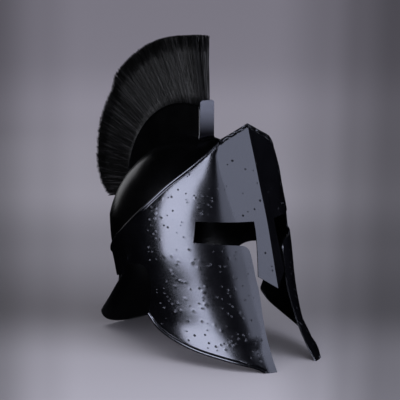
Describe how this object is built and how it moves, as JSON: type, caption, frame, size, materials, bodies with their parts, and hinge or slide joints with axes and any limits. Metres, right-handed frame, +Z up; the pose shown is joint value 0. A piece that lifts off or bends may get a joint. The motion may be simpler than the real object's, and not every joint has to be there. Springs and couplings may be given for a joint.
{
  "type": "corinthian helmet",
  "caption": "Steel corinthian helmet with a flared face plate, long eye slots, a nasal, a neck guard and a fan-shaped brush crest.",
  "frame": {"origin": "middle of the helmet's footprint, on the floor", "axes": "+Z up, -Y towards the face, -X the wearer's right"},
  "size_m": [0.1924, 0.3446, 0.358],
  "materials": {
    "bowl_steel": "glossy black paint over steel",
    "plate_steel": "semi-gloss gunmetal over steel, with small dents and chips",
    "guard_steel": "satin black paint over steel",
    "crest_plate_steel": "satin grey paint over steel",
    "plume_hair": "coarse black brush hair"
  },
  "bodies": {
    "root": {"skull": "bowl_steel", "face_plate": "plate_steel", "neck_guard": "guard_steel", "crest_holder": "bowl_steel", "crest_front_plate": "crest_plate_steel", "plume": "plume_hair"}
  },
  "joints": []
}
